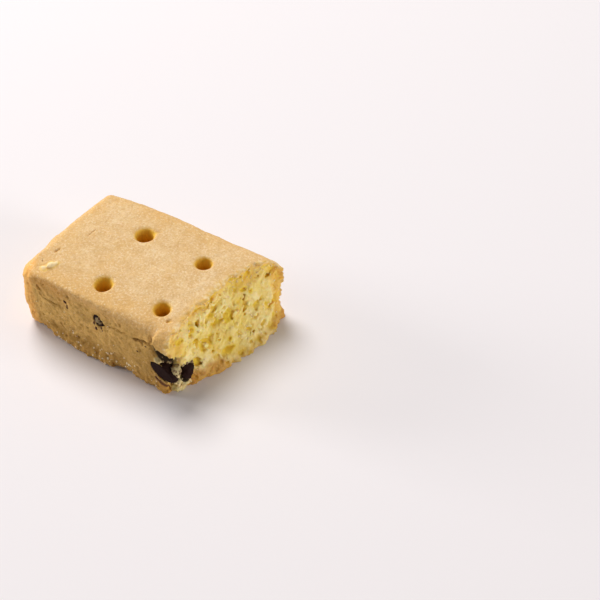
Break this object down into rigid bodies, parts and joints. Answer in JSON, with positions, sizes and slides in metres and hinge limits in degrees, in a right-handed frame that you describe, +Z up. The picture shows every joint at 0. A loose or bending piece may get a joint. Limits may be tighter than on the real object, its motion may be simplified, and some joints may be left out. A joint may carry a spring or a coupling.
{
  "type": "nutrition biscuit bar",
  "caption": "Broken half of a baked rectangular biscuit bar, with docker holes in its rounded top and chocolate chips in its side and torn end.",
  "frame": {"origin": "middle of the bounding box, on the flat base that the biscuit rests on", "axes": "+X along the bar towards the broken end, +Y towards the long side without chips, +Z up"},
  "size_m": [0.0392, 0.027, 0.0148],
  "materials": {
    "biscuit": "matt golden baked crust over yellow crumb",
    "chocolate": "dark satin chocolate"
  },
  "bodies": {
    "root": {"biscuit": "biscuit", "chip_corner": "chocolate", "chip_break": "chocolate", "chip_side": "chocolate"}
  },
  "joints": []
}
